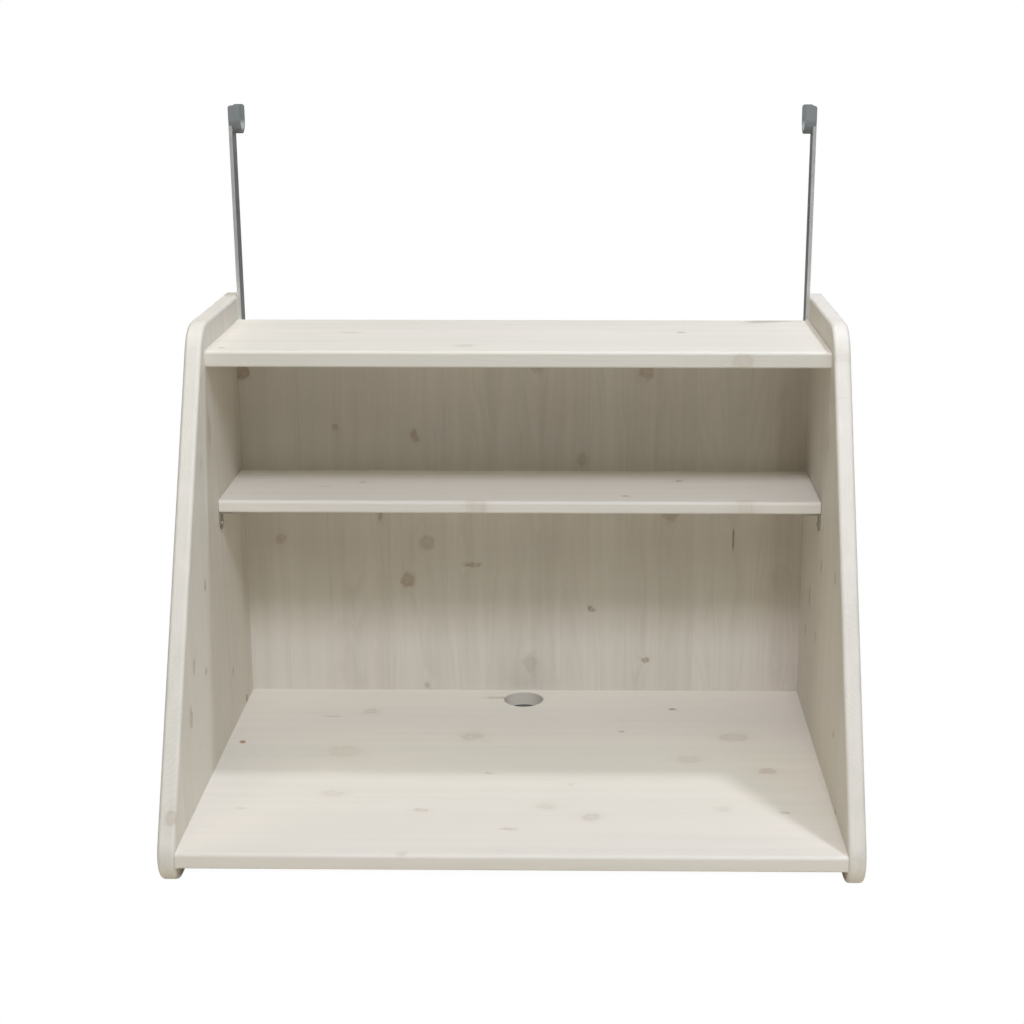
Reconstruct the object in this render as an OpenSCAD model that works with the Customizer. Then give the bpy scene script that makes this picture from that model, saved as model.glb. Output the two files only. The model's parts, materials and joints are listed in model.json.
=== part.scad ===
// Hanging desk hutch: two tapered side panels carry a top shelf, a middle shelf on brackets,
// a deep desk board with a cable hole and a back panel. Two flat steel bars with U hooks hang it.
// Millimetres, +Z up, front towards -Y, origin at the bottom centre of the whole part.

/* [Overall] */
// Overall width over the side panels
overall_w = 900; // [650:1:1150]
// Height of the hooks' tops above the floor
hook_top_z = 945; // [800:1:1200]

/* [Side panels] */
// Thickness of a side panel
panel_t = 23; // [18:1:30]
// Height of a side panel
panel_h = 668; // [655:1:760]
// Depth at the foot, up to the sharp corner before it is rounded
foot_d = 649; // [640:1:720]
// Depth at the head, up to the sharp corner before it is rounded
head_d = 282; // [275:1:340]
// Corner radius at the front of the head
head_r = 54; // [20:1:70]
// Corner radius at the front of the foot
foot_r = 40; // [15:1:45]
// Roundover along the top, front and bottom edges
edge_r = 5; // [2:0.5:9]

/* [Desk board] */
// Height of the desk surface
desk_z = 50; // [40:1:80]
// Depth of the desk in front of the back panel
desk_d = 562; // [450:1:562]
// Thickness of the desk board
desk_t = 21; // [16:1:25]
// Diameter of the cable hole
hole_d = 60; // [30:1:80]
// Wood between the cable hole and the back panel
hole_gap = 7; // [5:1:60]
// Roundover of the cable hole's upper rim
hole_rim_r = 1.5; // [0.5:0.5:3]

/* [Middle shelf] */
// Height of the middle shelf's top
mid_z = 410; // [300:1:500]
// Depth of the middle shelf
mid_d = 171; // [120:1:210]
// Thickness of the middle shelf
mid_t = 18; // [16:1:25]
// Clearance between each end of the middle shelf and its side panel
mid_gap = 0.5; // [0.2:0.1:1]
// Open gap for cables between the middle shelf and the back panel
cable_gap = 14; // [1:1:30]

/* [Top shelf] */
// How far the top shelf's top lies below the side panels' heads
top_drop = 36; // [32:1:70]
// Depth of the top shelf in front of the back panel
top_d = 220; // [150:1:225]
// Thickness of the top shelf
top_t = 23; // [16:1:25]
// Roundover of the boards' upper front edges
board_r = 5; // [1:0.5:7]
// Roundover of the boards' lower front edges
under_r = 3; // [1:0.5:7]

/* [Back panel] */
// Thickness of the back panel
back_t = 18; // [16:1:25]
// Recess behind the back panel, back to the side panels' rear edges
recess_d = 40; // [40:1:60]

/* [Hangers] */
// Width of the flat bar, front to back
bar_w = 30; // [20:1:40]
// Thickness of the flat bar
bar_t = 5; // [3:0.5:8]
// Height of the bar's lower end
bar_foot_z = 330; // [250:1:450]
// Free gap inside the U hook
hook_gap = 32; // [18:1:60]
// Thickness of the hook's strap
strap_t = 4; // [2:0.5:6]
// Width of the hook's strap
strap_w = 17; // [12:1:30]
// Overall height of the hook
hook_h = 41; // [38:1:80]
// Corner radius at the hook's upper ends
strap_r = 4; // [1:0.5:6]

/* [Shelf brackets] */
// Length of each leg of a bracket
leg_l = 27; // [22:1:35]
// Width of a bracket
leg_w = 20; // [14:1:26]
// Thickness of a bracket
leg_t = 2; // [1.5:0.5:3]
// Outer bend radius of a bracket
bend_r = 3.5; // [3.5:0.5:5]
// Screw hole's distance from the bracket's corner
leg_hole = 18; // [15:1:22]
// Distance from the shelf's front or rear edge to the bracket
bracket_inset = 1; // [0:1:30]

/* [Fixings] */
// Connecting bolt's shank diameter
bolt_d = 6; // [5:1:8]
// Connecting bolt's head diameter
bolt_head_d = 15; // [12:1:18]
// Connecting bolt's head height, sunk flush in the side panel
bolt_head_h = 2.5; // [2:0.5:4]
// Hexagon socket across flats
socket_af = 4; // [3:0.5:5]
// Barrel nut's diameter
nut_d = 10; // [10:1:12]
// Barrel nut's length
nut_l = 12; // [10:1:14]
// Barrel nut's distance from the end of its board
nut_in = 34; // [25:1:50]
// Distance from a board's front and rear edge to its first bolt
bolt_inset = 50; // [30:1:60]
// Dowel diameter
dowel_d = 8; // [6:1:10]
// Dowel length
dowel_l = 30; // [25:1:40]
// Dowel length that sits in the side panel
dowel_in = 10; // [8:1:14]
// How far a connecting bolt runs past its nut
bolt_past = 2; // [1:1:6]
// Depth of a bolt's hexagon socket
socket_depth = 3.5; // [3:0.5:6]
// Wood screw diameter, hangers
bar_screw_d = 5; // [4:0.5:6]
// Wood screw length, hangers
bar_screw_l = 20; // [16:1:22]
// Wood screw diameter, brackets
leg_screw_d = 3.5; // [3:0.5:4]
// Wood screw length, brackets
leg_screw_l = 15; // [12:1:16]
// Screw diameter, desk board to back panel
back_screw_d = 5; // [4:0.5:6]
// Screw length, desk board to back panel
back_screw_l = 60; // [50:5:80]
// Clearance on the diameter of clearance holes
play = 0.5; // [0.2:0.1:1]
// Clearance at the bottom of blind holes
end_play = 1; // [0.5:0.5:2]

/* [Hidden] */
$fn = 64;
e = 1;                 // how far a cutting tool runs past a surface
far = 60;              // how far the waste beyond a side panel's edge is cut
spare = 0.05;          // what a side panel's blank has over its finished outline
wood = [0.86, 0.83, 0.78];
steel = [0.5, 0.53, 0.52];
beech = [0.8, 0.66, 0.48];

// side panel outline, u forward from the rear edge, v up
// The exact builder reads a rotation to six decimals. Among the angles near the wanted one this takes the one
// whose cosine and sine are truest at six decimals, so that the panel's slanting and level edges meet exactly.
near_cos = round(1e6 * cos(atan2(panel_h, foot_d - head_d)));
pairs = [for (k = [-100:100]) let (a = near_cos + k, b = round(sqrt(1e12 - a * a))) [abs(a * a + b * b - 1e12), a, b]];
truest = min([for (p = pairs) p[0]]);
pair = [for (p = pairs) if (p[0] == truest) p][0];
slope = atan2(pair[2], pair[1]);               // interior angle at the foot
foot_tan = foot_r / tan(slope / 2);
head_tan = head_r / tan((180 - slope) / 2);
foot_c = [foot_d - foot_tan, foot_r];
head_c = [foot_d - panel_h / tan(slope) - head_tan, panel_h - head_r];
front_l = (panel_h / sin(slope)) - foot_tan - head_tan;   // straight part of the front edge

// places along Y, from the rear edge of the side panels
hook_r = hook_gap / 2 + strap_t;               // outer radius of the hook's bend
back_u = recess_d + back_t;                    // front face of the back panel
front_u = max(foot_c[0] + foot_r, back_u + desk_d);
rear_u = min(0, bar_w - 2 * hook_r);
rear_y = (front_u + rear_u) / 2;
back_y = rear_y - back_u;
bar_y = rear_y - bar_w;                        // front edge of the bars and rear edge of the top shelf
x_out = overall_w / 2;
x_in = x_out - panel_t;
top_z = panel_h - top_drop;
back_z0 = desk_z;
back_z1 = top_z - top_t;
desk_rear_y = back_y + back_t;

// rows of fixings
function row(a, b, n) = [for (i = [0:n - 1]) a + (b - a) * i / (n - 1)];
function between(r) = [for (i = [0:len(r) - 2]) (r[i] + r[i + 1]) / 2];
top_bolt_y = row(back_y - top_d + bolt_inset, bar_y - bolt_inset, 2);
desk_bolt_y = row(back_y - desk_d + bolt_inset, desk_rear_y - bolt_inset, 3);
back_bolt_z = row(back_z0 + bolt_inset, back_z1 - bolt_inset, 2);
top_dowel_y = between(top_bolt_y);
desk_dowel_y = between(desk_bolt_y);
back_dowel_z = row(back_bolt_z[0] + bolt_inset, back_bolt_z[1] - bolt_inset, 3);
back_screw_x = row(-x_in + 2 * bolt_inset, x_in - 2 * bolt_inset, 4);
bar_screw_z = row(bar_foot_z + leg_w, back_z1 - leg_w, 3);
top_mid_z = top_z - top_t / 2;
desk_mid_z = desk_z - desk_t / 2;
back_mid_y = back_y + back_t / 2;
bar_mid_y = rear_y - bar_w / 2;
mid_under = mid_z - mid_t;
mid_rear_y = back_y - cable_gap;
bracket_y = [mid_rear_y - mid_d + bracket_inset + leg_w / 2, mid_rear_y - bracket_inset - leg_w / 2];
hook_c = [bar_y + hook_r, hook_top_z - hook_h + hook_r];   // bend centre, Y and Z
bar_tip = hook_c[1] - hook_r * sin(24);                    // front tip of the bar, under the bend

// ---------- tools ----------
// corner left over when an edge is rounded: edge at 0,0, wood towards +X and +Y
module round_waste(r) {
    difference() {
        translate([-e, -e]) square([r + e, r + e]);
        translate([r, r]) circle(r = r);
    }
}
// what lies outside a side panel's edge, and the waste of its two roundovers: edge's face at X 0, wood towards +X
module edge_waste() {
    translate([-far, -e]) square([far, panel_t + 2 * e]);
    round_waste(edge_r);
    translate([0, panel_t]) mirror([0, 1]) round_waste(edge_r);
}
// the same along a straight edge, from 0 to len along +X with the wood towards +Y
module straight_waste(len) { rotate([90, 0, 90]) linear_extrude(len) edge_waste(); }
// the same round a corner of radius r centred on 0,0; the children are blocks that bound its sector
module corner_waste(r) {
    intersection() {
        rotate_extrude() translate([r, 0]) mirror([1, 0]) edge_waste();
        children(0);
        children(1);
    }
}
// the half of space towards +X, past any corner's reach
module half_space() { translate([0, -2 * far, -far]) cube([2 * far, 4 * far, 3 * far]); }
// lays a shape drawn in u and v, with its thickness along +Z, on the inner face of the right panel
module on_right_panel() { translate([x_in, rear_y, 0]) rotate([90, 0, 90]) mirror([1, 0, 0]) children(); }
module both_sides() { children(); mirror([1, 0, 0]) children(); }
// a cylinder along X on the right-hand side, from x0 to x1
module x_rod(x0, x1, y, z, d) { translate([x0, y, z]) rotate([0, 90, 0]) cylinder(h = x1 - x0, d = d); }
module wood_screw(d, l, head_d, head_h) {
    difference() {
        rotate_extrude() polygon([[0, head_h], [head_d * 0.28, head_h], [head_d * 0.45, head_h * 0.6],
            [head_d / 2, 0], [d / 2, 0], [d / 2, d - l], [0, -l]]);
        for (a = [0, 90]) rotate([0, 0, a])
            translate([-head_d * 0.25, -head_d * 0.05, head_h * 0.4]) cube([head_d * 0.5, head_d * 0.1, head_h]);
    }
}
module flush_screw(d, l, head_d) {
    difference() {
        rotate_extrude() polygon([[0, 0], [head_d / 2, 0], [d / 2, -(head_d - d) / 2], [d / 2, d - l], [0, -l]]);
        for (a = [0, 90]) rotate([0, 0, a])
            translate([-head_d * 0.25, -head_d * 0.06, -d * 0.3]) cube([head_d * 0.5, head_d * 0.12, d]);
    }
}

// ---------- side panels ----------
// Frames on the two corners' centres. The edges and corners that meet are cut in the same frame,
// so that they meet exactly: along the floor, then up the slanting front, then along the top.
module at_foot() { translate([foot_c[0], foot_c[1], 0]) children(); }
module up_front() { at_foot() rotate([0, 0, 180 - slope]) children(); }
module at_head() { up_front() translate([front_l, head_r - foot_r, 0]) children(); }
module level() { rotate([0, 0, slope - 180]) children(); }
module panel_blank() {
    difference() {
        linear_extrude(panel_t)
            polygon([[0, -spare], [foot_d + 2 * spare, -spare], [head_d + 2 * spare, panel_h + spare],
                [0, panel_h + spare]]);
        at_foot() translate([-foot_c[0] - e, -foot_r, 0]) straight_waste(foot_c[0] + e);
        at_foot() corner_waste(foot_r) {
            half_space();
            rotate([0, 0, 180 - slope]) mirror([1, 0, 0]) half_space();
        }
        up_front() translate([0, -foot_r, 0]) straight_waste(front_l);
        at_head() corner_waste(head_r) {
            half_space();
            level() half_space();
        }
        at_head() level() rotate([0, 0, 180]) translate([0, -head_r, 0]) straight_waste(head_c[0] + e);
    }
}
module bolt_hole(y, z) {
    x_rod(x_in - e, x_out + e, y, z, bolt_d + play);
    x_rod(x_out - bolt_head_h, x_out + e, y, z, bolt_head_d + play);
}
module dowel_hole(y, z) { x_rod(x_in - e, x_in + dowel_in, y, z, dowel_d); }
module right_panel() {
    difference() {
        on_right_panel() panel_blank();
        for (y = top_bolt_y) bolt_hole(y, top_mid_z);
        for (y = desk_bolt_y) bolt_hole(y, desk_mid_z);
        for (z = back_bolt_z) bolt_hole(back_mid_y, z);
        for (y = top_dowel_y) dowel_hole(y, top_mid_z);
        for (y = desk_dowel_y) dowel_hole(y, desk_mid_z);
        for (z = back_dowel_z) dowel_hole(back_mid_y, z);
        for (z = bar_screw_z) x_rod(x_in - e, x_in + bar_screw_l - bar_t + end_play, bar_mid_y, z, bar_screw_d);
        for (y = bracket_y)
            x_rod(x_in - e, x_in + leg_screw_l - leg_t + end_play, y, mid_under - leg_hole, leg_screw_d);
    }
}
module right_side_panel() { color(wood) right_panel(); }
module left_side_panel() { color(wood) mirror([1, 0, 0]) right_panel(); }

// ---------- boards ----------
// board across the hutch, with its front edge rounded above and below
module board(half_w, y0, y1, z1, t) {
    translate([-half_w, 0, 0]) rotate([90, 0, 90]) linear_extrude(2 * half_w) {
        difference() {
            translate([y0, z1 - t]) square([y1 - y0, t]);
            translate([y0, z1 - t]) round_waste(under_r);
            translate([y0, z1]) mirror([0, 1]) round_waste(board_r);
        }
    }
}
// bolt, nut and dowel holes in both ends of a lying board
module end_holes(bolt_y, dowel_y, z) {
    both_sides() {
        for (y = bolt_y) {
            x_rod(x_in - nut_in - nut_d - end_play, x_in + e, y, z, bolt_d + play);
            translate([x_in - nut_in, y, z - e - max(desk_t, top_t)]) cylinder(h = nut_l / 2 + e + max(desk_t, top_t), d = nut_d);
        }
        for (y = dowel_y) x_rod(x_in - dowel_l + dowel_in - end_play, x_in + e, y, z, dowel_d);
    }
}
module top_shelf() {
    color(wood) difference() {
        board(x_in, back_y - top_d, bar_y, top_z, top_t);
        end_holes(top_bolt_y, top_dowel_y, top_mid_z);
    }
}
module middle_shelf() {
    color(wood) difference() {
        board(x_in - mid_gap, mid_rear_y - mid_d, mid_rear_y, mid_z, mid_t);
        both_sides() for (y = bracket_y)
            translate([x_in - leg_hole, y, mid_under - e]) cylinder(h = leg_screw_l - leg_t + e + end_play, d = leg_screw_d);
    }
}
module desk_board() {
    hole_y = back_y - hole_gap - hole_d / 2;
    color(wood) difference() {
        board(x_in, back_y - desk_d, desk_rear_y, desk_z, desk_t);
        end_holes(desk_bolt_y, desk_dowel_y, desk_mid_z);
        translate([0, hole_y, desk_z - desk_t - e]) cylinder(h = desk_t + 2 * e, d = hole_d, $fn = 96);
        translate([0, hole_y, desk_z]) mirror([0, 0, 1]) rotate_extrude($fn = 96)
            translate([hole_d / 2, 0]) round_waste(hole_rim_r);
        for (x = back_screw_x) translate([x, back_mid_y, desk_z - desk_t]) {
            translate([0, 0, -e]) cylinder(h = desk_t + 2 * e, d = back_screw_d + play);
            cylinder(h = back_screw_d / 2, d1 = 2 * back_screw_d, d2 = back_screw_d);
        }
    }
}
module back_panel() {
    color(wood) difference() {
        translate([-x_in, back_y, back_z0]) cube([2 * x_in, back_t, back_z1 - back_z0]);
        both_sides() {
            for (z = back_bolt_z) {
                x_rod(x_in - nut_in - nut_d - end_play, x_in + e, back_mid_y, z, bolt_d + play);
                translate([x_in - nut_in, back_mid_y - nut_l / 2, z]) rotate([-90, 0, 0])
                    cylinder(h = nut_l / 2 + back_t / 2 + e, d = nut_d);
            }
            for (z = back_dowel_z)
                x_rod(x_in - dowel_l + dowel_in - end_play, x_in + e, back_mid_y, z, dowel_d);
        }
        for (x = back_screw_x) translate([x, back_mid_y, back_z0 - e])
            cylinder(h = back_screw_l - desk_t + e + end_play, d = back_screw_d);
    }
}

// ---------- hangers ----------
// the right-hand bar and hook; the left ones are their mirror images
module bar_right() {
    difference() {
        translate([x_in - bar_t, bar_y, bar_foot_z]) cube([bar_t, bar_w, bar_tip - bar_foot_z]);
        translate([x_in - bar_t - e, hook_c[0], hook_c[1]]) rotate([0, 90, 0])
            cylinder(h = bar_t + 2 * e, r = hook_r, $fn = 96);
        for (z = bar_screw_z) x_rod(x_in - bar_t - e, x_in + e, bar_mid_y, z, bar_screw_d + play);
    }
}
module hook_profile() {
    // Y across and Z up, about the bend's centre
    leg = hook_h - hook_r;
    difference() {
        union() {
            circle(r = hook_r, $fn = 96);
            translate([-hook_r, 0]) square([2 * hook_r, leg]);
        }
        circle(r = hook_r - strap_t, $fn = 96);
        translate([strap_t - hook_r, 0]) square([hook_gap, leg + e]);
    }
}
module hook_right() {
    difference() {
        translate([x_in - strap_w, hook_c[0], hook_c[1]]) rotate([90, 0, 90])
            linear_extrude(strap_w) hook_profile();
        // rounded upper corners of both ends of the strap
        translate([x_in - strap_w, bar_y - e, hook_top_z]) mirror([0, 0, 1]) rotate([90, 0, 0])
            mirror([0, 0, 1]) linear_extrude(2 * hook_r + 2 * e) {
                round_waste(strap_r);
                translate([strap_w, 0]) mirror([1, 0]) round_waste(strap_r);
            }
    }
}
module right_hanger_bar() { color(steel) bar_right(); }
module left_hanger_bar() { color(steel) mirror([1, 0, 0]) bar_right(); }
module right_hook() { color(steel) hook_right(); }
module left_hook() { color(steel) mirror([1, 0, 0]) hook_right(); }

// ---------- brackets under the middle shelf ----------
module leg_plate() {
    // 2D leg running along +X from the bend, with a full round end
    difference() {
        union() {
            translate([bend_r, -leg_w / 2]) square([leg_l - leg_w / 2 - bend_r, leg_w]);
            translate([leg_l - leg_w / 2, 0]) circle(d = leg_w);
        }
        translate([leg_hole, 0]) circle(d = leg_screw_d + play);
    }
}
module bracket(y) {
    // on the right-hand panel: corner at x_in and the shelf's underside
    translate([x_in, y, mid_under]) mirror([1, 0, 0]) {
        translate([0, 0, -leg_t]) linear_extrude(leg_t) leg_plate();
        rotate([0, 90, 0]) linear_extrude(leg_t) leg_plate();
        translate([bend_r, leg_w / 2, -bend_r]) rotate([90, 0, 0]) linear_extrude(leg_w)
            intersection() {
                difference() { circle(r = bend_r); circle(r = bend_r - leg_t); }
                translate([-bend_r, 0]) square(bend_r);
            }
    }
}
module bracket_right_front() { color(steel) bracket(bracket_y[0]); }
module bracket_right_rear() { color(steel) bracket(bracket_y[1]); }
module bracket_left_front() { color(steel) mirror([1, 0, 0]) bracket(bracket_y[0]); }
module bracket_left_rear() { color(steel) mirror([1, 0, 0]) bracket(bracket_y[1]); }
module bracket_side_screws() {
    color(steel) both_sides() for (y = bracket_y)
        translate([x_in - leg_t, y, mid_under - leg_hole]) rotate([0, -90, 0])
            wood_screw(leg_screw_d, leg_screw_l, 2 * leg_screw_d, 0.6 * leg_screw_d);
}
module bracket_shelf_screws() {
    color(steel) both_sides() for (y = bracket_y)
        translate([x_in - leg_hole, y, mid_under - leg_t]) rotate([180, 0, 0])
            wood_screw(leg_screw_d, leg_screw_l, 2 * leg_screw_d, 0.6 * leg_screw_d);
}
module hanger_screws() {
    color(steel) both_sides() for (z = bar_screw_z)
        translate([x_in - bar_t, bar_mid_y, z]) rotate([0, -90, 0])
            wood_screw(bar_screw_d, bar_screw_l, 2 * bar_screw_d, 0.6 * bar_screw_d);
}

// ---------- bolts, barrel nuts and dowels ----------
module bolt(y, z) {
    tail = nut_in + nut_d / 2 + bolt_past;
    difference() {
        union() {
            x_rod(x_out - bolt_head_h, x_out, y, z, bolt_head_d);
            x_rod(x_in - tail, x_out - bolt_head_h / 2, y, z, bolt_d);
        }
        translate([x_out - socket_depth, y, z]) rotate([0, 90, 0])
            cylinder(h = socket_depth + e, d = socket_af / cos(30), $fn = 6);
    }
}
module nut(y, z, lying) {
    difference() {
        translate([x_in - nut_in, y, z]) rotate([lying ? 0 : 90, 0, 0])
            cylinder(h = nut_l, d = nut_d, center = true);
        x_rod(x_in - nut_in - nut_d, x_in - nut_in + nut_d, y, z, bolt_d);
    }
}
module dowel(y, z) { x_rod(x_in + dowel_in - dowel_l, x_in + dowel_in, y, z, dowel_d); }
module top_shelf_bolts() { color(steel) both_sides() for (y = top_bolt_y) bolt(y, top_mid_z); }
module desk_bolts() { color(steel) both_sides() for (y = desk_bolt_y) bolt(y, desk_mid_z); }
module back_panel_bolts() { color(steel) both_sides() for (z = back_bolt_z) bolt(back_mid_y, z); }
module top_shelf_nuts() { color(steel) both_sides() for (y = top_bolt_y) nut(y, top_mid_z, true); }
module desk_nuts() { color(steel) both_sides() for (y = desk_bolt_y) nut(y, desk_mid_z, true); }
module back_panel_nuts() { color(steel) both_sides() for (z = back_bolt_z) nut(back_mid_y, z, false); }
module top_shelf_dowels() { color(beech) both_sides() for (y = top_dowel_y) dowel(y, top_mid_z); }
module desk_dowels() { color(beech) both_sides() for (y = desk_dowel_y) dowel(y, desk_mid_z); }
module back_panel_dowels() { color(beech) both_sides() for (z = back_dowel_z) dowel(back_mid_y, z); }
module back_panel_screws() {
    color(steel) for (x = back_screw_x) translate([x, back_mid_y, desk_z - desk_t]) rotate([180, 0, 0])
        flush_screw(back_screw_d, back_screw_l, 2 * back_screw_d);
}

left_side_panel();
right_side_panel();
top_shelf();
middle_shelf();
desk_board();
back_panel();
left_hanger_bar();
right_hanger_bar();
left_hook();
right_hook();
bracket_left_front();
bracket_left_rear();
bracket_right_front();
bracket_right_rear();
bracket_side_screws();
bracket_shelf_screws();
hanger_screws();
top_shelf_bolts();
desk_bolts();
back_panel_bolts();
top_shelf_nuts();
desk_nuts();
back_panel_nuts();
top_shelf_dowels();
desk_dowels();
back_panel_dowels();
back_panel_screws();
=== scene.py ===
"""Looks of the hanging desk hutch.

The CAD model holds the shape and place of every piece. This script gives each piece its finish: whitewashed
pine made of glued staves with growth rings and knots, zinc-plated steel, and beech dowels. It adds a plain
studio and the camera of the photograph, and measures how far the finished model is from the image points.
"""

import json
import math
from collections import namedtuple

import bpy
from mathutils import Vector
from mathutils.bvhtree import BVHTree
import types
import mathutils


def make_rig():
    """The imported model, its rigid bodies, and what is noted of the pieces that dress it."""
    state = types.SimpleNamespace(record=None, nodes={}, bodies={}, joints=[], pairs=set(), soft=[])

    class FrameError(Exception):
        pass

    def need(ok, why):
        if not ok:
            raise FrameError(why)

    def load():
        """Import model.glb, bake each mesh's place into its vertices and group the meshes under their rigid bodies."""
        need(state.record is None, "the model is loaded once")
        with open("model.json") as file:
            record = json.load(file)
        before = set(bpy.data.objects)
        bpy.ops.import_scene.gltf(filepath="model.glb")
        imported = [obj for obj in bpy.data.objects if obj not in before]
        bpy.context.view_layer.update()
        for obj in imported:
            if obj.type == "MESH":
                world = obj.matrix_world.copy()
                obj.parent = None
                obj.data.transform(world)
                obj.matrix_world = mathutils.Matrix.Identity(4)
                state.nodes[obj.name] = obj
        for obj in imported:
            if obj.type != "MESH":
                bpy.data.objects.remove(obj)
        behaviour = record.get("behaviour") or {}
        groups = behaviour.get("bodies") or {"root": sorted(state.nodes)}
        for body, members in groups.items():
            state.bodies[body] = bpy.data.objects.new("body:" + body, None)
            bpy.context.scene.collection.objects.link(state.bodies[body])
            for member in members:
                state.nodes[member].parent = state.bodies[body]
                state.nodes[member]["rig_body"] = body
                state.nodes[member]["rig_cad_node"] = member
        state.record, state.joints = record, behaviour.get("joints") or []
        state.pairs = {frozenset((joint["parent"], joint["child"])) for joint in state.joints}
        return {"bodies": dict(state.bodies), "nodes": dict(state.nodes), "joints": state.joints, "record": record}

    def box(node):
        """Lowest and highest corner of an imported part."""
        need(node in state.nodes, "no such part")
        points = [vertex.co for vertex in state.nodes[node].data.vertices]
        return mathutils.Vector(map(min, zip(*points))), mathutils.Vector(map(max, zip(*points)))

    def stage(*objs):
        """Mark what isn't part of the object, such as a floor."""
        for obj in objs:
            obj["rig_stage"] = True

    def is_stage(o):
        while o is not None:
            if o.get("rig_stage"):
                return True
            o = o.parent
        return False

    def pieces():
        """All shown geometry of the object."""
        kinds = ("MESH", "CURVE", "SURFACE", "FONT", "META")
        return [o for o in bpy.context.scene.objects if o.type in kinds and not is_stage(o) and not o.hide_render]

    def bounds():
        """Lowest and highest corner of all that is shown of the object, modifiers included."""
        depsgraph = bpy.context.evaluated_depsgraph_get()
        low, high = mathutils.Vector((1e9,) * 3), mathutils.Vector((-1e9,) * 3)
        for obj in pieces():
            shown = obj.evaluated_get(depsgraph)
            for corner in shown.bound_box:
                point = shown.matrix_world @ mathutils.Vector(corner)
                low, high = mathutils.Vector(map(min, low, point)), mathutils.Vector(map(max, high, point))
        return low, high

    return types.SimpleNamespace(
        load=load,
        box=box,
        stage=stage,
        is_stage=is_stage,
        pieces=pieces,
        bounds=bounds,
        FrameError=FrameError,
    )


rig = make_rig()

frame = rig.load()
CAD_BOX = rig.bounds()
NODES = frame["nodes"]

MM = 0.001
WHITE = (1.0, 1.0, 1.0, 1.0)

# The camera of the photograph: its place in metres, its turns in degrees, lens and sensor in millimetres.
IMAGE_SIDE = 1024
CAMERA_PLACE = (0.0849, -2.3334, 1.0849)
CAMERA_YAW = 0.712
CAMERA_PITCH = 16.066
LENS = 61.894
SENSOR = 36.0
SHIFT_X = -0.04505

# Image points, in pixels of the photograph: the object's edges, corners, the cable hole's middle and knots.
EDGES = {"left": 157.8, "right": 866.4, "top": 104.3, "bottom": 883.0}
CORNERS = {
    "desk_front_left": (176.5, 853.5),
    "desk_front_right": (848.0, 857.0),
    "back_bottom_left": (253.6, 688.0),
    "back_bottom_right": (796.0, 691.0),
    "middle_shelf_left": (218.5, 499.5),
    "middle_shelf_right": (820.7, 501.0),
    "top_shelf_left": (204.4, 350.0),
    "top_shelf_right": (832.0, 351.5),
}
CABLE_HOLE = (523.7, 700.0)
KNOT_POINTS = {
    "desk_dark_knot": (243.0, 742.0),
    "desk_brown_knot": (591.0, 817.0),
    "back_round_knot": (408.0, 580.0),
    "back_small_knot": (591.0, 609.0),
    "back_oval_knot": (645.0, 659.0),
}

# Where each corner is looked for: the node, and the way in the picture in which it lies farthest out.
CORNER_OF = {
    "desk_front_left": ("desk_board", (-1.0, -0.3)),
    "desk_front_right": ("desk_board", (1.0, -0.3)),
    "back_bottom_left": ("back_panel", (-0.5, 1.0)),
    "back_bottom_right": ("back_panel", (0.5, 1.0)),
    "middle_shelf_left": ("middle_shelf", (-1.0, -0.3)),
    "middle_shelf_right": ("middle_shelf", (1.0, -0.3)),
    "top_shelf_left": ("top_shelf", (-1.0, -0.3)),
    "top_shelf_right": ("top_shelf", (1.0, -0.3)),
}

# A knot runs through its board. Its place along and across the grain, and its radius, are in millimetres;
# long says how much longer than wide it is, and dark how much light it takes away. A knot with a reach, also
# in millimetres, ends that far from its middle, whose place through the board is then given too.
Knot = namedtuple("Knot", "along across radius long dark middle reach", defaults=(0.0, None))
# A board: the axes that run along, across and through the grain, how much darker than the palest board it is, which
# on the back panel is a painted shade of the bays and on the desk board a painted light, how plainly its grain shows,
# the places of its glued joints in millimetres, and its knots.
Board = namedtuple("Board", "axes shade grain joints knots")

DESK_KNOTS = [
    Knot(-252, 8, 20, 1.3, 0.08),
    Knot(-231, 158, 10, 1.25, 0.13),
    Knot(-71, 65, 14, 1.25, 0.13),
    Knot(-250, -132, 9, 1.7, 0.08),
    Knot(-125, -183, 4.5, 2.3, 0.17),
    Knot(-40, -65, 3, 1.8, 0.25),
    Knot(-5, -238, 3.5, 3.2, 0.16),
    Knot(-367, -180, 1, 9, 0.3),
    Knot(-286, 138, 1.2, 11, 0.35),
    Knot(-40, 216, 4, 5, 0.25),
    Knot(-140, -309, 5, 1.2, 0.10, 50, 6),
    Knot(149, 86, 4.5, 1.3, 0.3),
    Knot(230, 171, 4.5, 1.2, 0.45),
    Knot(313, 65, 15, 1.5, 0.13),
    Knot(243, -14, 12, 1.4, 0.09),
    Knot(351, -53, 9, 1.4, 0.2),
    Knot(42, -169, 9, 1.5, 0.09),
    Knot(279, -175, 7, 1.3, 0.08),
    Knot(360, -184, 4, 1.5, 0.25),
    Knot(75, -99, 4, 1, 0.1),
]
BACK_KNOTS = [
    Knot(473, -283, 4.5, 1.1, 0.26),
    Knot(460, -163, 6.3, 1.5, 0.28),
    Knot(559, -422, 13, 1.0, 0.4),
    Knot(560, 185, 12, 1.0, 0.22),
    Knot(567, 20, 10, 0.8, 0.15),
    Knot(424, 88, 9, 1.0, 0.18),
    Knot(298, -374, 8.5, 1.1, 0.19),
    Knot(334, -219, 4.5, 1.9, 0.35),
    Knot(292, -148, 11, 1.1, 0.17),
    Knot(257, -78, 13, 0.25, 0.3),
    Knot(57, -153, 5, 0.9, 0.26),
    Knot(95, 9, 10, 1.45, 0.12),
    Knot(299, 321, 1.5, 12, 0.6),
    Knot(336, 224, 11, 0.9, 0.2),
    Knot(235, 398, 17, 2.0, 0.11),
    Knot(330, 406, 25, 14, 0.07),
]
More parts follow.
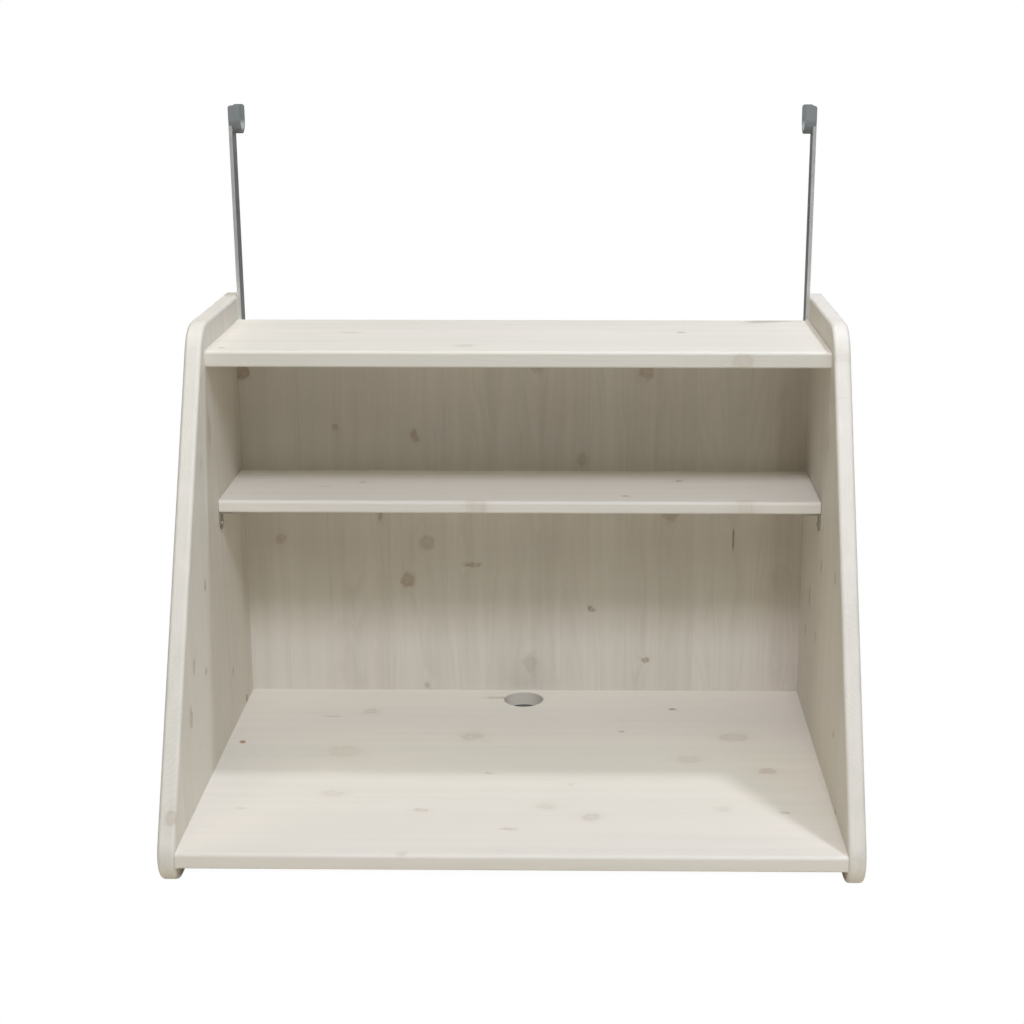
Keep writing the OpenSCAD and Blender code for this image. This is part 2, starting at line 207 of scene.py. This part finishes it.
MIDDLE_KNOTS = [
    Knot(-233, 165, 4, 1.6, 0.3),
    Knot(-289, 142, 1.2, 12, 0.25),
    Knot(151, 93, 3, 1.8, 0.35),
    Knot(233, 176, 4.5, 1.3, 0.45),
    Knot(-61, 62, 9, 1.6, 0.11),
    Knot(320, 66, 9, 1.6, 0.09),
    Knot(-12, 241, 1.5, 12, 0.25),
]
TOP_KNOTS = [
    Knot(-407, 51, 3, 2.0, 0.5),
    Knot(-74, 70, 8, 1.6, 0.16),
    Knot(307, 27, 9, 1.6, 0.12, 618, 12),
    Knot(231, 175, 4, 1.5, 0.4),
    Knot(-245, 169, 7, 1.6, 0.1),
]
LEFT_KNOTS = [
    Knot(178, -177, 8, 1.8, 0.28),
    Knot(238, -144, 9, 1.2, 0.22),
    Knot(205, -75, 5, 1.3, 0.3),
    Knot(135, 102, 6, 1.2, 0.32),
    Knot(56, 193, 6, 1.0, 0.6),
    Knot(321, -50, 6, 1.2, 0.3),
    Knot(520, 31, 9, 2.2, 0.15),
    Knot(91, -296, 12, 0.9, 0.18, -433, 8),
    Knot(490, -34, 9, 0.9, 0.1),
]
RIGHT_KNOTS = [
    Knot(350, -95, 8, 1.3, 0.22),
    Knot(322, 37, 6, 1.3, 0.22),
    Knot(242, 146, 9, 1.6, 0.28),
    Knot(180, 174, 6, 1.4, 0.26),
    Knot(208, 66, 6, 1.2, 0.24),
    Knot(144, -140, 5, 1.2, 0.34),
    Knot(52, -188, 4, 1.0, 0.5),
    Knot(505, 22, 7, 1.4, 0.2),
    Knot(149, -292, 9, 1.1, 0.13),
    Knot(627, 5, 6, 1.0, 0.06),
]
BOARDS = {
    "left_side_panel": Board("ZYX", 0.0, 0.8, (-195, -70, 60, 190), LEFT_KNOTS),
    "right_side_panel": Board("ZYX", 0.0, 0.8, (-160, -25, 95, 215), RIGHT_KNOTS),
    "top_shelf": Board("XYZ", 0.0, 0.6, (120, 215), TOP_KNOTS),
    "middle_shelf": Board("XYZ", 0.0, 0.6, (128, 200), MIDDLE_KNOTS),
    # The desk board's paler tone is a painted light, and the back panel's darker tone a painted shade of the bays.
    "desk_board": Board("XYZ", -0.02, 0.4, (-205, -85, 30, 127), DESK_KNOTS),
    "back_panel": Board("ZXY", 0.07, 1.0, (-300, -194, -120, 25, 100, 156, 261, 380), BACK_KNOTS),
}
# What the knots that have image points look like: the board, radius, long and dark.
KNOT_OF = {
    "desk_dark_knot": ("desk_board", 5, 1.1, 0.7),
    "desk_brown_knot": ("desk_board", 10, 1.4, 0.14),
    "back_round_knot": ("back_panel", 10.5, 1.15, 0.33),
    "back_small_knot": ("back_panel", 5, 1.0, 0.42),
    "back_oval_knot": ("back_panel", 6.5, 0.7, 0.44),
}

# The studio: square lamps in metres and watts, and how bright the surroundings are in what gloss mirrors.
SoftBox = namedtuple("SoftBox", "place target side power colour")
MIDDLE = (0.0, -0.05, 0.30)
SOFT_BOXES = {
    "front_near": SoftBox((0.10, -1.84, 2.64), MIDDLE, 0.50, 9.9, (0.97, 1.00, 1.20)),
    "front_far": SoftBox((0.20, -3.63, 4.98), MIDDLE, 1.00, 100.0, (0.97, 1.00, 1.20)),
    "front_wide": SoftBox((0.10, -3.40, 3.60), MIDDLE, 2.40, 30.8, (0.96, 1.00, 0.83)),
    "right_wide": SoftBox((1.30, -1.60, 2.70), MIDDLE, 1.80, 19.3, (0.88, 1.00, 1.05)),
    "rear_right": SoftBox((0.93, 0.40, 2.90), (0.35, -0.05, 0.10), 0.14, 24.0, (0.96, 1.00, 1.15)),
    "upper_left": SoftBox((-0.75, -0.05, 2.20), (-0.20, 0.05, 0.50), 0.50, 7.2, (1.03, 1.00, 0.82)),
}
MIRRORED = 0.45

# The floor, in metres: its colour, half its side, and the soft painted shade under the desk board, which the camera
# sees through the cable hole. The painted shade has a brightness at its darkest, and fades to white from the first to
# the second place of each pair: away from the middle to both sides, forwards, and backwards.
FLOOR_COLOUR = (0.88, 0.82, 0.70)
FLOOR_HALF = 20.0
SHADE_DARKEST = 0.06
SHADE_SIDES = (0.28, 0.44)
SHADE_FRONT = (-0.08, -0.28)
SHADE_BACK = (0.28, 0.50)

# Pine under whitewash: two near whites, and how much of each colour dark grain and a dark knot take away.
PINK_WHITE = (0.768, 0.708, 0.622)
GREEN_WHITE = (0.752, 0.708, 0.614)
GRAIN_TINT = (0.90, 1.0, 1.10)
KNOT_TINT = (0.74, 1.0, 1.18)
PINE_ROUGHNESS = 0.50
# The grain's layers: the size of each noise along, across and through the board, in millimetres, how much
# each layer darkens, and the mean that is taken off their sum.
FIBRE_SIZE = (60, 1.1, 1.1)
STREAK_SIZE = (500, 16, 16)
CLOUD_SIZE = (240, 90, 90)
RING_SHARE = 0.05
FIBRE_SHARE = 0.07
STREAK_SHARE = 0.16
CLOUD_SHARE = 0.06
STAVE_SHARE = 0.06
GRAIN_MEAN = 0.18
# How far the streaks and each stave's own number turn the white from pink to green.
HUE_RANGE = (0.4, 0.9)
STAVE_HUE = 0.3
# A glued joint's width, in metres, and darkness. The faint dark halo round a knot, in knot radii.
GLUE_WIDTH = 0.0007
GLUE_DARK = 0.10
HALO_RANGE = (1.0, 2.4)
HALO_DARK = 0.03
# The first stave's first edge, which lies off the board, is this far before the first joint, in millimetres.
FIRST_STAVE = 1000

# Growth rings, in metres: their width, how far the pith lies to the side at most, how far it lies beyond the
# frame's origin at least and how much farther at most, how far the rings lean in a metre and wander, and how
# far a knot bends them. The sizes, in millimetres, of the noises that move them and let them fade.
RING_WIDTH = 0.0036
PITH_ASIDE = 0.11
PITH_BEYOND = 0.03
PITH_DEEPER = 0.07
RING_LEAN = 0.02
RING_WANDER = 0.035
KNOT_BEND = 0.006
BEND_CORE = 0.6
WANDER_SIZE = (420, 60, 60)
FADE_SIZE = (260, 30, 30)
# The shares of a ring over which it darkens and turns pale again, and how faint it is where the noise is low.
RING_DARKENS = (0.25, 0.9)
RING_PALES = (0.92, 1.0)
FADE_RANGE = (0.35, 0.7)
FAINTEST_RING = 0.25

# Knots: how far their outline wobbles, in metres, and the sizes of that wobble and of their mottling, in
# millimetres. In knot radii: where a knot fades out, where its heart turns to its darker rim, and the
# distance that stands for no knot near. How strong heart, rim and mottling are, and how dark a knot may get.
KNOT_WOBBLE = (0.016, 0.014, 0.004)
WOBBLE_SIZE = (13, 13, 60)
MOTTLE_SIZE = (6, 6, 40)
KNOT_FADE = (0.65, 1.2)
KNOT_RIM = (0.35, 0.9)
NO_KNOT_NEAR = 9.0
HEART_STRENGTH = 0.2
RIM_STRENGTH = 0.5
MOTTLE_STRENGTH = 1.3
DARKEST_KNOT = 0.6
# A knot longer than this, over its width, is a resin streak: straight, with clean sides.
LONGEST_KNOT = 4.0

# Zinc-plated steel: the colour and roughness of each kind of piece, how bright its dull patches are beside
# the rest, and the sizes of its drawing streaks and cloudy plating, in millimetres, with their shares.
Zinc = namedtuple("Zinc", "colour roughness")
BAR_ZINC = Zinc((0.81, 0.84, 0.83), 0.26)
# The hooks' zinc is much darker than the bars': a painted shade for the hooks' shaded bends.
HOOK_ZINC_PAINTED_SHADE = Zinc((0.29, 0.304, 0.304), 0.6)
SCREW_ZINC = Zinc((0.70, 0.70, 0.68), 0.22)
# The brackets' zinc is darkened as a painted shade under the shelves, and warmed as a painted reflection of the pine.
BRACKET_ZINC_PAINTED_SHADE = Zinc((0.42, 0.39, 0.34), 0.38)
DULL_ZINC = 0.78
DRAWN_SIZE = (0.8, 0.8, 45)
DRAWN_SHARE = 0.16
PLATING_SIZE = (9, 9, 14)
PLATING_SHARE = 0.30

# Beech: its two colours, its roughness, and the size of its flecks, in millimetres.
BEECH = (0.56, 0.38, 0.22)
BEECH_FLECK = (0.34, 0.20, 0.11)
BEECH_ROUGHNESS = 0.55
FLECK_SIZE = (3, 0.5, 0.5)
FLECK_RANGE = (0.6, 0.75)

# How deep the relief of each material is, in metres.
PINE_RELIEF = 0.00012
STEEL_RELIEF = 0.00004
BEECH_RELIEF = 0.00005

# A vertex is hidden when a face lies at least this far in front of it, in metres.
HIDDEN_BY = 0.0015


class Graph:
    """The nodes of one material. A method adds a node and returns its result, so looks read as formulas."""

    def __init__(self, name):
        self.material = bpy.data.materials.new(name)
        self.material.use_nodes = True
        self.tree = self.material.node_tree
        self.shader = self.tree.nodes["Principled BSDF"]

    def node(self, kind, **settings):
        made = self.tree.nodes.new(kind)
        for setting, value in settings.items():
            setattr(made, setting, value)
        return made

    def feed(self, socket, value):
        """Links a result to a socket, or sets the socket to a plain value."""
        if isinstance(value, bpy.types.NodeSocket):
            self.tree.links.new(value, socket)
        else:
            socket.default_value = value

    def feed_all(self, made, values):
        for socket, value in zip(made.inputs, values):
            self.feed(socket, value)
        return made

    def number(self, operation, *values):
        return self.feed_all(self.node("ShaderNodeMath", operation=operation), values).outputs[0]

    def vector(self, operation, *values):
        made = self.feed_all(self.node("ShaderNodeVectorMath", operation=operation), values)
        return made.outputs["Value" if operation == "LENGTH" else "Vector"]

    def step(self, value, start, end, low=0.0, high=1.0):
        """Goes smoothly from low, up to start, to high, from end on."""
        made = self.node("ShaderNodeMapRange", interpolation_type="SMOOTHSTEP")
        return self.feed_all(made, (value, start, end, low, high)).outputs[0]

    def noise(self, place, detail=2.0, colour=False):
        """Noise one unit across, around 0.5: a number, or a colour of three."""
        made = self.node("ShaderNodeTexNoise")
        self.feed(made.inputs["Vector"], place)
        self.feed(made.inputs["Scale"], 1.0)
        self.feed(made.inputs["Detail"], detail)
        return made.outputs[1 if colour else 0]

    def stretched(self, place, *sizes):
        """A place counted in lengths of the given sizes, in millimetres."""
        return self.vector("MULTIPLY", place, tuple(1 / (size * MM) for size in sizes))

    def mix(self, share, first, second):
        made = self.node("ShaderNodeMix", data_type="RGBA")
        self.feed(made.inputs["Factor"], share)
        self.feed(made.inputs["A"], first)
        self.feed(made.inputs["B"], second)
        return made.outputs["Result"]

    def parts(self, place):
        made = self.node("ShaderNodeSeparateXYZ")
        self.feed(made.inputs[0], place)
        return made.outputs

    def joined(self, *values):
        return self.feed_all(self.node("ShaderNodeCombineXYZ"), values).outputs[0]

    def place(self, axes="XYZ"):
        """The place on the piece, with the row frame's axes in the given order."""
        place = self.node("ShaderNodeTexCoord").outputs["Object"]
        if axes == "XYZ":
            return place
        split = self.parts(place)
        return self.joined(*(split["XYZ".index(axis)] for axis in axes))

    def bump(self, height, depth):
        """Relief from a height between 0 and 1, of a depth in metres."""
        made = self.node("ShaderNodeBump")
        self.feed(made.inputs["Distance"], depth)
        self.feed(made.inputs["Height"], height)
        self.feed(self.shader.inputs["Normal"], made.outputs["Normal"])


def staves(graph, across, joints):
    """How far a place is from its stave's first edge, and three numbers that each stave has to itself."""
    edge = joints[0] * MM - FIRST_STAVE * MM
    for before, joint in zip((joints[0] - FIRST_STAVE,) + joints, joints):
        past = graph.number("GREATER_THAN", across, joint * MM)
        edge = graph.number("MULTIPLY_ADD", past, (joint - before) * MM, edge)
    random = graph.node("ShaderNodeTexWhiteNoise", noise_dimensions="1D")
    graph.feed(random.inputs["W"], edge)
    return graph.number("SUBTRACT", across, edge), graph.parts(random.outputs["Color"])


def knot_field(graph, place, knots):
    """How dark the knots are at a place, and how far the nearest one is, in knot radii."""
    wobble = graph.noise(graph.stretched(place, *WOBBLE_SIZE), detail=4.0, colour=True)
    uneven = graph.vector("MULTIPLY_ADD", wobble, KNOT_WOBBLE, place)
    uneven = graph.vector("SUBTRACT", uneven, tuple(most / 2 for most in KNOT_WOBBLE))
    darkness, nearest = 0.0, NO_KNOT_NEAR
    for knot in knots:
        through = 1 / knot.reach if knot.reach else 0.0
        sizes = (1 / (knot.radius * knot.long), 1 / knot.radius, through)
        origin = [-at * size for at, size in zip((knot.along, knot.across, knot.middle), sizes)]
        where = place if knot.long > LONGEST_KNOT else uneven
        scaled = graph.vector("MULTIPLY_ADD", where, tuple(size / MM for size in sizes), origin)
        distance = graph.vector("LENGTH", scaled)
        darkness = graph.number("MAXIMUM", darkness, graph.step(distance, *KNOT_FADE, knot.dark, 0.0))
        nearest = graph.number("MINIMUM", nearest, distance)
    mottle = graph.noise(graph.stretched(place, *MOTTLE_SIZE), detail=3.0)
    rim = graph.step(nearest, *KNOT_RIM, HEART_STRENGTH, RIM_STRENGTH)
    strength = graph.number("MULTIPLY_ADD", mottle, MOTTLE_STRENGTH, rim)
    darkness = graph.number("MULTIPLY", darkness, strength)
    return graph.number("MINIMUM", darkness, DARKEST_KNOT), nearest


def ring_darkness(graph, place, from_edge, stave, nearest_knot):
    """Growth rings round each stave's pith, which lies off the board: pale early wood, darker late wood."""
    along, across, through = graph.parts(place)
    pith = graph.number("MULTIPLY", stave[0], PITH_ASIDE)
    sideways = graph.number("SUBTRACT", from_edge, pith)
    below = graph.number("MULTIPLY_ADD", stave[1], PITH_DEEPER, graph.number("ADD", through, PITH_BEYOND))
    radius = graph.vector("LENGTH", graph.joined(sideways, below, 0.0))
    slope = graph.number("MULTIPLY_ADD", stave[2], 2 * RING_LEAN, -RING_LEAN)
    lean = graph.number("MULTIPLY", along, slope)
    wander = graph.number("MULTIPLY", graph.noise(graph.stretched(place, *WANDER_SIZE)), RING_WANDER)
    far = graph.number("MULTIPLY_ADD", nearest_knot, nearest_knot, BEND_CORE)
    bend = graph.number("DIVIDE", KNOT_BEND, far)
    radius = graph.number("ADD", graph.number("ADD", radius, lean), graph.number("ADD", wander, bend))
    phase = graph.number("FRACT", graph.number("DIVIDE", radius, RING_WIDTH))
    darkening = graph.step(phase, *RING_DARKENS)
    late = graph.number("MULTIPLY", darkening, graph.step(phase, *RING_PALES, 1.0, 0.0))
    patches = graph.noise(graph.stretched(place, *FADE_SIZE))
    seen = graph.step(patches, *FADE_RANGE, FAINTEST_RING, 1.0)
    return graph.number("MULTIPLY", late, seen)


def tinted(graph, colour, darkness, tint):
    """The colour with the darkness taken away, more of it where the tint is higher."""
    taken = graph.vector("MULTIPLY", graph.joined(darkness, darkness, darkness), tint)
    return graph.vector("MULTIPLY", colour, graph.vector("SUBTRACT", (1.0, 1.0, 1.0), taken))


def pine(name, board):
    """Whitewashed pine: staves, growth rings, knots and fibres, all running through the whole board."""
    graph = Graph(name)
    place = graph.place(board.axes)
    from_edge, stave = staves(graph, graph.parts(place)[1], board.joints)
    knots, nearest = knot_field(graph, place, board.knots)
    rings = ring_darkness(graph, place, from_edge, stave, nearest)
    fibres = graph.noise(graph.stretched(place, *FIBRE_SIZE), detail=3.0)
    streaks = graph.noise(graph.stretched(place, *STREAK_SIZE), detail=2.0)
    clouds = graph.noise(graph.stretched(place, *CLOUD_SIZE), detail=1.0)
    glue = graph.step(from_edge, 0.0, GLUE_WIDTH, GLUE_DARK, 0.0)
    halo = graph.step(nearest, *HALO_RANGE, HALO_DARK, 0.0)

    grain = graph.number("MULTIPLY", rings, RING_SHARE)
    layers = ((fibres, FIBRE_SHARE), (streaks, STREAK_SHARE), (clouds, CLOUD_SHARE), (stave[2], STAVE_SHARE))
    for layer, share in layers:
        grain = graph.number("MULTIPLY_ADD", layer, share, grain)
    grain = graph.number("MULTIPLY", graph.number("SUBTRACT", grain, GRAIN_MEAN), board.grain)
    grain = graph.number("ADD", grain, graph.number("ADD", halo, glue))
    # The board's shade: painted light on the desk board, painted shade of the bays on the back panel.
    grain = graph.number("ADD", grain, board.shade)
    hue = graph.step(graph.number("MULTIPLY_ADD", stave[0], STAVE_HUE, streaks), *HUE_RANGE)
    white = graph.mix(hue, (*PINK_WHITE, 1.0), (*GREEN_WHITE, 1.0))
    colour = tinted(graph, tinted(graph, white, grain, GRAIN_TINT), knots, KNOT_TINT)
    graph.feed(graph.shader.inputs["Base Color"], colour)
    graph.feed(graph.shader.inputs["Roughness"], graph.number("MULTIPLY_ADD", fibres, 0.14, PINE_ROUGHNESS))
    graph.bump(graph.number("MULTIPLY_ADD", rings, -0.5, fibres), PINE_RELIEF)
    return graph.material


def steel(name, colour, roughness):
    """Zinc-plated steel: faint drawing streaks, cloudy plating and a soft gloss."""
    graph = Graph(name)
    place = graph.place()
    streaks = graph.noise(graph.stretched(place, *DRAWN_SIZE), detail=3.0)
    clouds = graph.noise(graph.stretched(place, *PLATING_SIZE), detail=3.0)
    drawn = graph.number("MULTIPLY", streaks, DRAWN_SHARE)
    shade = graph.number("MULTIPLY_ADD", clouds, PLATING_SHARE, drawn)
    dull = tuple(DULL_ZINC * part for part in colour)
    graph.feed(graph.shader.inputs["Base Color"], graph.mix(shade, (*colour, 1.0), (*dull, 1.0)))
    graph.feed(graph.shader.inputs["Metallic"], 1.0)
    graph.feed(graph.shader.inputs["Roughness"], graph.number("MULTIPLY_ADD", clouds, 0.16, roughness))
    graph.bump(streaks, STEEL_RELIEF)
    return graph.material


def beech(name):
    """Beech of the dowels: pinkish tan with short dark flecks."""
    graph = Graph(name)
    place = graph.place()
    fleck = graph.step(graph.noise(graph.stretched(place, *FLECK_SIZE)), *FLECK_RANGE)
    colour = graph.mix(fleck, (*BEECH, 1.0), (*BEECH_FLECK, 1.0))
    graph.feed(graph.shader.inputs["Base Color"], colour)
    graph.feed(graph.shader.inputs["Roughness"], graph.number("MULTIPLY_ADD", fleck, 0.1, BEECH_ROUGHNESS))
    graph.bump(fleck, BEECH_RELIEF)
    return graph.material


def dress(material, *names):
    """Gives a material to every slot of the named CAD nodes."""
    for name in names:
        for slot in NODES[name].material_slots:
            slot.material = material


def named(ending):
    """The names of the CAD nodes that end in this way."""
    return [name for name in NODES if name.endswith(ending)]


def dress_boards(extra_knots):
    """Gives each board its own pine, with its own knots and those that have image points."""
    for name, board in BOARDS.items():
        whole = board._replace(knots=board.knots + extra_knots.get(name, []))
        dress(pine(name + "_whitewash", whole), name)


def dress_hardware():
    """Steel and beech. The brackets come after the screws, because theirs have the brackets' zinc, whose darker,
    warmer colour is a painted shade with a painted reflection of the pine.
    """
    dress(steel("bar_zinc", *BAR_ZINC), *named("hanger_bar"))
    dress(steel("hook_zinc", *HOOK_ZINC_PAINTED_SHADE), *named("hook"))
    dress(steel("screw_zinc", *SCREW_ZINC), *named("screws"), *named("bolts"), *named("nuts"))
    brackets = [name for name in NODES if name.startswith("bracket")]
    dress(steel("bracket_zinc", *BRACKET_ZINC_PAINTED_SHADE), *brackets)
    dress(beech("dowel_beech"), *named("dowels"))


def add_camera():
    data = bpy.data.cameras.new("photograph_camera")
    data.sensor_fit = "AUTO"
    data.sensor_width = SENSOR
    data.lens = LENS
    data.shift_x = SHIFT_X
    camera = bpy.data.objects.new("photograph_camera", data)
    camera.location = CAMERA_PLACE
    camera.rotation_euler = (math.radians(90 - CAMERA_PITCH), 0.0, math.radians(CAMERA_YAW))
    bpy.context.scene.collection.objects.link(camera)
    bpy.context.scene.camera = camera
    bpy.context.view_layer.update()
    return camera


def soft_box(name, box):
    """A square lamp that faces its target."""
    data = bpy.data.lights.new(name, "AREA")
    data.size = box.side
    data.energy = box.power
    data.color = box.colour
    lamp = bpy.data.objects.new(name, data)
    lamp.location = box.place
    lamp.rotation_euler = (Vector(box.target) - Vector(box.place)).to_track_quat("-Z", "Y").to_euler()
    bpy.context.scene.collection.objects.link(lamp)


def split_for_camera(tree, lit, shown):
    """A shader that shows one thing to the camera, and another to the rays that light the object."""
    path = tree.nodes.new("ShaderNodeLightPath")
    both = tree.nodes.new("ShaderNodeMixShader")
    tree.links.new(path.outputs["Is Camera Ray"], both.inputs["Fac"])
    tree.links.new(lit, both.inputs[1])
    tree.links.new(shown, both.inputs[2])
    return both.outputs[0]


def add_world():
    """All round: grey in what gloss mirrors, dark to all else that is lit, and white behind the object."""
    world = bpy.data.worlds.new("studio")
    world.use_nodes = True
    tree = world.node_tree
    around = tree.nodes["Background"]
    around.inputs["Color"].default_value = WHITE
    mirrored = tree.nodes.new("ShaderNodeMath")
    mirrored.operation = "MULTIPLY"
    tree.links.new(tree.nodes.new("ShaderNodeLightPath").outputs["Is Glossy Ray"], mirrored.inputs[0])
    mirrored.inputs[1].default_value = MIRRORED
    tree.links.new(mirrored.outputs[0], around.inputs["Strength"])
    behind = tree.nodes.new("ShaderNodeBackground")
    behind.inputs["Color"].default_value = WHITE
    shader = split_for_camera(tree, around.outputs[0], behind.outputs[0])
    tree.links.new(shader, tree.nodes["World Output"].inputs["Surface"])
    bpy.context.scene.world = world


def floor_material():
    """Pale floor that the camera sees as white, but for the painted shade under the desk board."""
    graph = Graph("pale_floor")
    graph.tree.nodes.remove(graph.shader)
    matt = graph.node("ShaderNodeBsdfDiffuse")
    graph.feed(matt.inputs["Color"], (*FLOOR_COLOUR, 1.0))
    x, y, _ = graph.parts(graph.place())
    # Painted shade: the floor's glow is darkest under the desk board and brightens away from it.
    lit = graph.step(graph.number("ABSOLUTE", x), *SHADE_SIDES)
    for start, end in (SHADE_FRONT, SHADE_BACK):
        lit = graph.number("MAXIMUM", lit, graph.step(y, start, end))
    strength = graph.number("MULTIPLY_ADD", lit, 1 - SHADE_DARKEST, SHADE_DARKEST)
    glow = graph.node("ShaderNodeEmission")
    graph.feed(glow.inputs["Strength"], strength)
    shader = split_for_camera(graph.tree, matt.outputs[0], glow.outputs[0])
    graph.tree.links.new(shader, graph.tree.nodes["Material Output"].inputs["Surface"])
    return graph.material


def add_floor():
    mesh = bpy.data.meshes.new("floor")
    ways = ((-1, -1), (1, -1), (1, 1), (-1, 1))
    corners = [(x * FLOOR_HALF, y * FLOOR_HALF, 0.0) for x, y in ways]
    mesh.from_pydata(corners, [], [(0, 1, 2, 3)])
    mesh.materials.append(floor_material())
    floor = bpy.data.objects.new("floor", mesh)
    bpy.context.scene.collection.objects.link(floor)
    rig.stage(floor)


def add_studio():
    bpy.context.scene.view_settings.view_transform = "Standard"
    add_world()
    for name, box in SOFT_BOXES.items():
        soft_box(name, box)
    add_floor()


def ray_through(camera, point):
    """Start and direction of the ray that the camera sends through an image point."""
    half = IMAGE_SIDE / 2
    x = point[0] - half + camera.data.shift_x * IMAGE_SIDE
    y = half - point[1] + camera.data.shift_y * IMAGE_SIDE
    aim = Vector((x, y, -IMAGE_SIDE * camera.data.lens / camera.data.sensor_width))
    turned = camera.matrix_world.to_quaternion() @ aim
    return camera.matrix_world.translation, turned.normalized()


def image_of(camera, place):
    """Image point at which the camera shows a place."""
    x, y, z = camera.matrix_world.inverted() @ Vector(place)
    scale = IMAGE_SIDE * camera.data.lens / camera.data.sensor_width / -z
    half = IMAGE_SIDE / 2
    return (
        x * scale + half - camera.data.shift_x * IMAGE_SIDE,
        half - y * scale + camera.data.shift_y * IMAGE_SIDE,
    )


def placed(camera, point, name):
    """Where an image point falls on a CAD node, or the node's place nearest to its ray."""
    tree = BVHTree.FromObject(NODES[name], bpy.context.evaluated_depsgraph_get())
    start, aim = ray_through(camera, point)
    hit = tree.ray_cast(start, aim)[0]
    if hit is not None:
        return hit
    centre = sum(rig.box(name), Vector()) / 2
    return tree.find_nearest(start + aim * (centre - start).dot(aim))[0]


def pointed_knots(camera):
    """The knots with image points, where the camera sees them: their places, and a list for each board."""
    places, found = {}, {}
    for label, point in KNOT_POINTS.items():
        name, radius, long, dark = KNOT_OF[label]
        places[label] = placed(camera, point, name)
        along, across = (places[label]["XYZ".index(axis)] / MM for axis in BOARDS[name].axes[:2])
        found.setdefault(name, []).append(Knot(along, across, radius, long, dark))
    return places, found


def all_faces():
    """One search tree of every piece that shows."""
    corners, faces = [], []
    graph = bpy.context.evaluated_depsgraph_get()
    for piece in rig.pieces():
        mesh = piece.evaluated_get(graph).to_mesh()
        first = len(corners)
        corners += [piece.matrix_world @ corner.co for corner in mesh.vertices]
        faces += [[first + index for index in face.vertices] for face in mesh.polygons]
    return BVHTree.FromPolygons(corners, faces)


def shown_vertices(camera, tree, piece):
    """Image points of a piece's finished vertices that nothing hides."""
    mesh = piece.evaluated_get(bpy.context.evaluated_depsgraph_get()).to_mesh()
    start = camera.matrix_world.translation
    seen = []
    for corner in mesh.vertices:
        place = piece.matrix_world @ corner.co
        way = place - start
        hit = tree.ray_cast(start, way.normalized())[0]
        if hit is None or (hit - start).length > way.length - HIDDEN_BY:
            seen.append(image_of(camera, place))
    return seen


def hole_centre():
    """Middle of the cable hole, level with the desk's top."""
    mount = next(m for m in frame["record"]["mounts"] if m["name"] == "cable_hole")
    return (mount["pos_m"][0], mount["pos_m"][1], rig.box("desk_board")[1].z)


def measure(camera, knot_places):
    """How far each named thing shows from its image point, in pixels. What is out of sight is left out."""
    tree = all_faces()
    seen = {piece.name: shown_vertices(camera, tree, piece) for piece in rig.pieces()}
    everywhere = [point for points in seen.values() for point in points]
    if not everywhere:
        return {}
    xs, ys = zip(*everywhere)
    report = {
        "left": {"x": min(xs) - EDGES["left"]},
        "right": {"x": max(xs) - EDGES["right"]},
        "top": {"y": min(ys) - EDGES["top"]},
        "bottom": {"y": max(ys) - EDGES["bottom"]},
    }
    shown = {label: image_of(camera, place) for label, place in knot_places.items()}
    wanted = {**CORNERS, **KNOT_POINTS, "cable_hole": CABLE_HOLE}
    for label, (name, way) in CORNER_OF.items():
        if seen[name]:
            shown[label] = max(seen[name], key=lambda p: p[0] * way[0] + p[1] * way[1])
    shown["cable_hole"] = image_of(camera, hole_centre())
    for label in shown:
        point = wanted[label]
        report[label] = {"x": shown[label][0] - point[0], "y": shown[label][1] - point[1]}
    return report


def write(path, value):
    with open(path, "w") as target:
        json.dump(value, target, indent=1)


camera = add_camera()
knot_places, extra_knots = pointed_knots(camera)
dress_boards(extra_knots)
dress_hardware()
add_studio()
write("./points.json", measure(camera, knot_places))
write("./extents.json", {"cad": [list(c) for c in CAD_BOX], "visual": [list(c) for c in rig.bounds()]})
